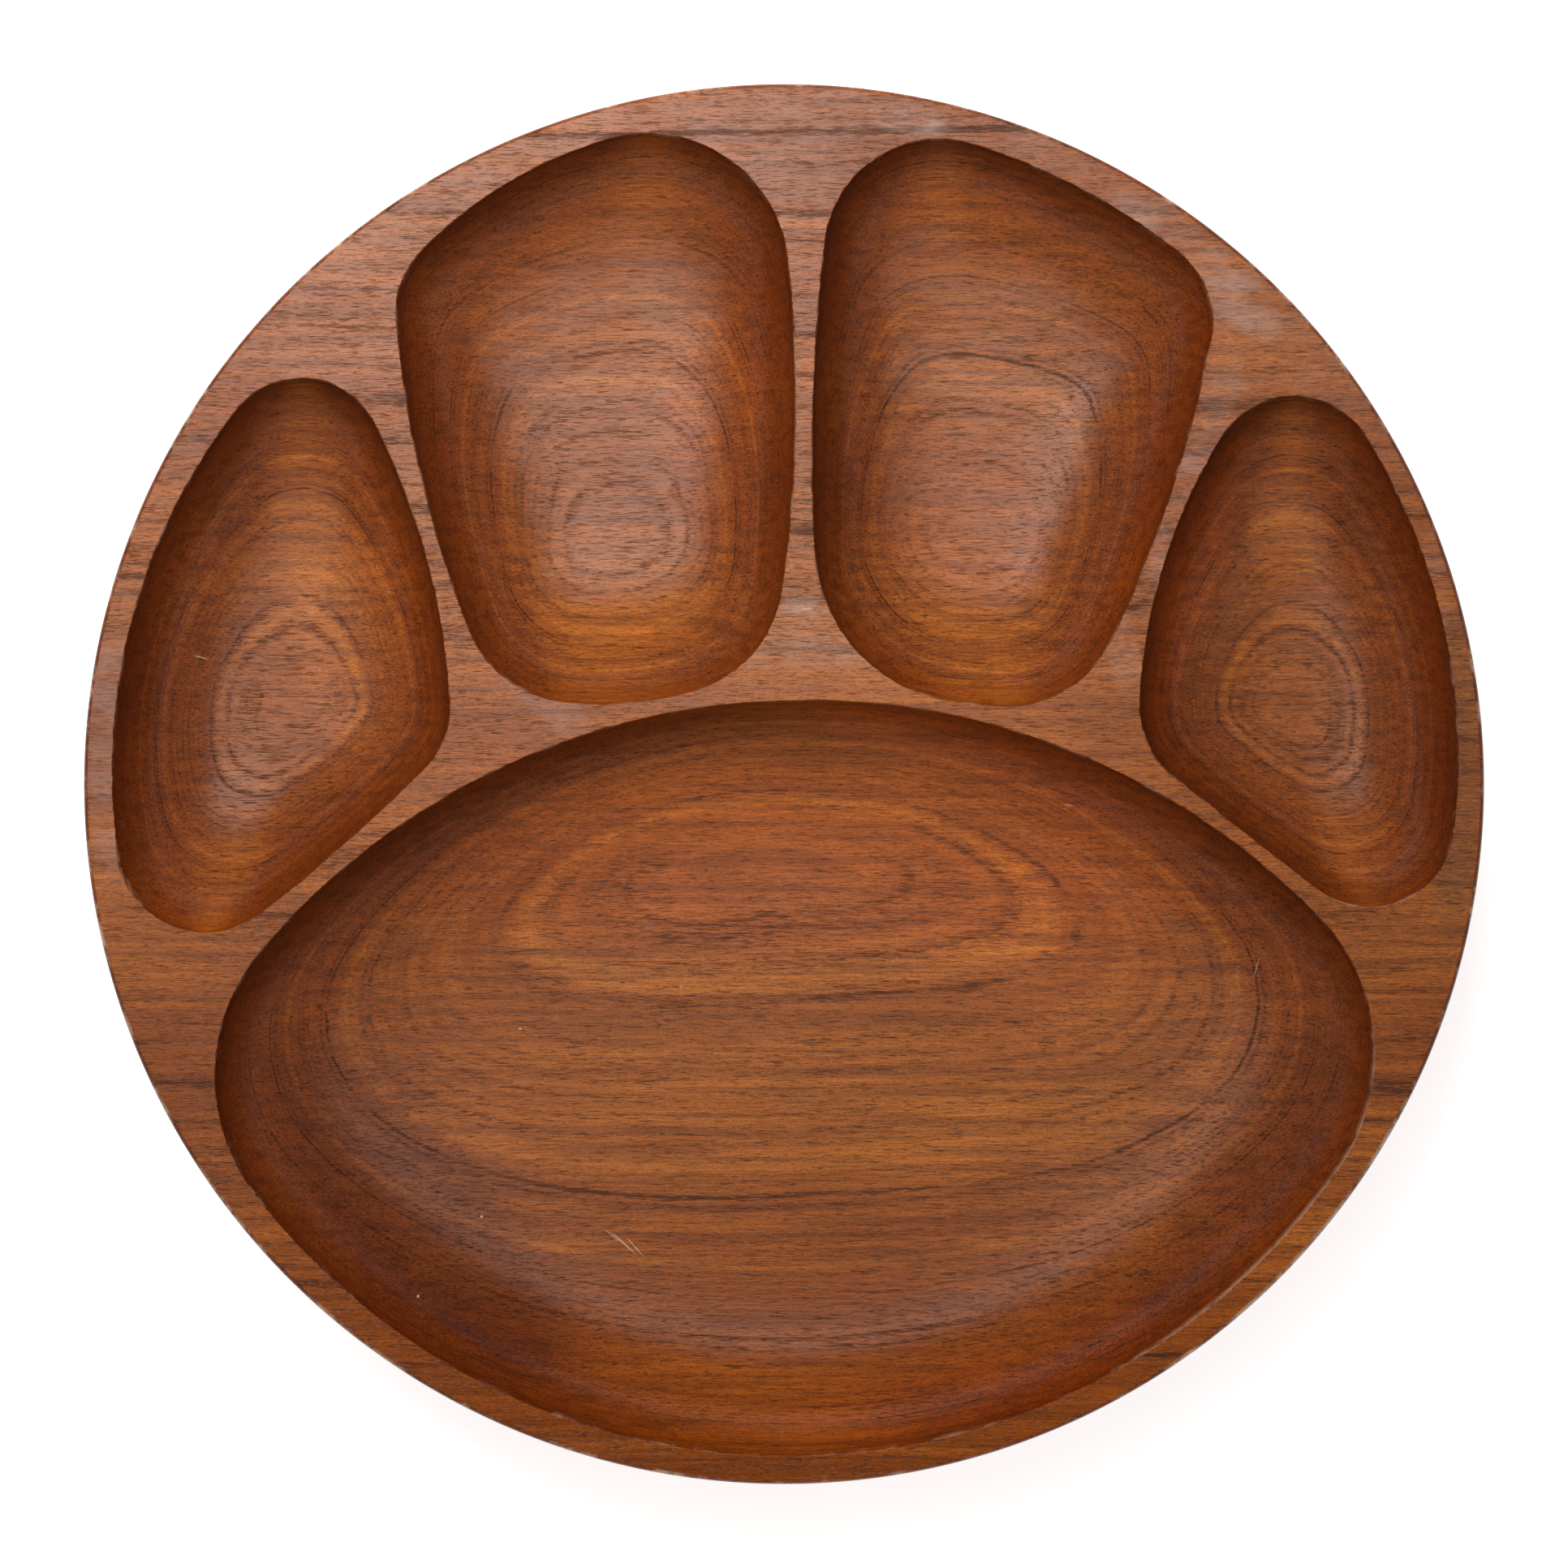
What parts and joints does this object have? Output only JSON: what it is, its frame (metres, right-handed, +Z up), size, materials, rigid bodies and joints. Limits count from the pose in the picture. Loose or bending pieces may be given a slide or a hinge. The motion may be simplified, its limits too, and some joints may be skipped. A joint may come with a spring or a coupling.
{
  "type": "lazy susan turntable",
  "caption": "Round carved teak serving tray with paw-shaped pockets, turning on a ball-bearing swivel over a small round base with rubber feet.",
  "frame": {"origin": "on the table plane, under the turning axis", "axes": "+Z up along the turning axis, +Y towards the two middle toe pockets, +X towards the right outer toe pocket"},
  "size_m": [0.36, 0.36, 0.0529],
  "materials": {
    "teak_tray": "oiled satin",
    "teak_base": "oiled satin",
    "zinc_plate": "zinc plated",
    "nylon": "natural",
    "ball_steel": "polished",
    "screw_steel": "yellow passivated",
    "washer_steel": "zinc plated",
    "rubber": "matte"
  },
  "bodies": {
    "base": {"base": "teak_base", "swivel_lower_plate": "zinc_plate", "base_screws": "screw_steel", "rubber_foot_1": "rubber", "rubber_foot_2": "rubber", "rubber_foot_3": "rubber", "rubber_foot_4": "rubber", "foot_washers": "washer_steel", "foot_screws": "screw_steel"},
    "platter": {"platter": "teak_tray", "swivel_upper_plate": "zinc_plate", "platter_screws": "screw_steel"},
    "cage": {"ball_cage": "nylon"},
    "ball_1": {"ball_1": "ball_steel"},
    "ball_2": {"ball_2": "ball_steel"},
    "ball_3": {"ball_3": "ball_steel"},
    "ball_4": {"ball_4": "ball_steel"},
    "ball_5": {"ball_5": "ball_steel"},
    "ball_6": {"ball_6": "ball_steel"},
    "ball_7": {"ball_7": "ball_steel"},
    "ball_8": {"ball_8": "ball_steel"},
    "ball_9": {"ball_9": "ball_steel"},
    "ball_10": {"ball_10": "ball_steel"},
    "ball_11": {"ball_11": "ball_steel"},
    "ball_12": {"ball_12": "ball_steel"}
  },
  "joints": [
    {"name": "platter_spin", "type": "hinge", "parent": "base", "child": "platter", "pos_m": [0, 0, 0.02195], "axis": [0, 0, 1], "continuous": true},
    {"name": "cage_orbit", "type": "hinge", "parent": "base", "child": "cage", "pos_m": [0, 0, 0.02195], "axis": [0, 0, 1], "continuous": true},
    {"name": "ball_1_roll", "type": "hinge", "parent": "cage", "child": "ball_1", "pos_m": [0.02944, 0.017, 0.02195], "axis": [0.866, 0.5, 0], "continuous": true},
    {"name": "ball_2_roll", "type": "hinge", "parent": "cage", "child": "ball_2", "pos_m": [0.017, 0.02944, 0.02195], "axis": [0.5, 0.866, 0], "continuous": true},
    {"name": "ball_3_roll", "type": "hinge", "parent": "cage", "child": "ball_3", "pos_m": [0, 0.034, 0.02195], "axis": [0, 1, 0], "continuous": true},
    {"name": "ball_4_roll", "type": "hinge", "parent": "cage", "child": "ball_4", "pos_m": [-0.017, 0.02944, 0.02195], "axis": [-0.5, 0.866, 0], "continuous": true},
    {"name": "ball_5_roll", "type": "hinge", "parent": "cage", "child": "ball_5", "pos_m": [-0.02944, 0.017, 0.02195], "axis": [-0.866, 0.5, 0], "continuous": true},
    {"name": "ball_6_roll", "type": "hinge", "parent": "cage", "child": "ball_6", "pos_m": [-0.034, 0, 0.02195], "axis": [-1, 0, 0], "continuous": true},
    {"name": "ball_7_roll", "type": "hinge", "parent": "cage", "child": "ball_7", "pos_m": [-0.02944, -0.017, 0.02195], "axis": [-0.866, -0.5, 0], "continuous": true},
    {"name": "ball_8_roll", "type": "hinge", "parent": "cage", "child": "ball_8", "pos_m": [-0.017, -0.02944, 0.02195], "axis": [-0.5, -0.866, 0], "continuous": true},
    {"name": "ball_9_roll", "type": "hinge", "parent": "cage", "child": "ball_9", "pos_m": [0, -0.034, 0.02195], "axis": [0, -1, 0], "continuous": true},
    {"name": "ball_10_roll", "type": "hinge", "parent": "cage", "child": "ball_10", "pos_m": [0.017, -0.02944, 0.02195], "axis": [0.5, -0.866, 0], "continuous": true},
    {"name": "ball_11_roll", "type": "hinge", "parent": "cage", "child": "ball_11", "pos_m": [0.02944, -0.017, 0.02195], "axis": [0.866, -0.5, 0], "continuous": true},
    {"name": "ball_12_roll", "type": "hinge", "parent": "cage", "child": "ball_12", "pos_m": [0.034, 0, 0.02195], "axis": [1, 0, 0], "continuous": true}
  ],
  "couplings": [
    {"joint": "cage_orbit", "follows": "platter_spin", "ratio": 0.5},
    {"joint": "ball_1_roll", "follows": "platter_spin", "ratio": -7.1429},
    {"joint": "ball_2_roll", "follows": "platter_spin", "ratio": -7.1429},
    {"joint": "ball_3_roll", "follows": "platter_spin", "ratio": -7.1429},
    {"joint": "ball_4_roll", "follows": "platter_spin", "ratio": -7.1429},
    {"joint": "ball_5_roll", "follows": "platter_spin", "ratio": -7.1429},
    {"joint": "ball_6_roll", "follows": "platter_spin", "ratio": -7.1429},
    {"joint": "ball_7_roll", "follows": "platter_spin", "ratio": -7.1429},
    {"joint": "ball_8_roll", "follows": "platter_spin", "ratio": -7.1429},
    {"joint": "ball_9_roll", "follows": "platter_spin", "ratio": -7.1429},
    {"joint": "ball_10_roll", "follows": "platter_spin", "ratio": -7.1429},
    {"joint": "ball_11_roll", "follows": "platter_spin", "ratio": -7.1429},
    {"joint": "ball_12_roll", "follows": "platter_spin", "ratio": -7.1429}
  ]
}
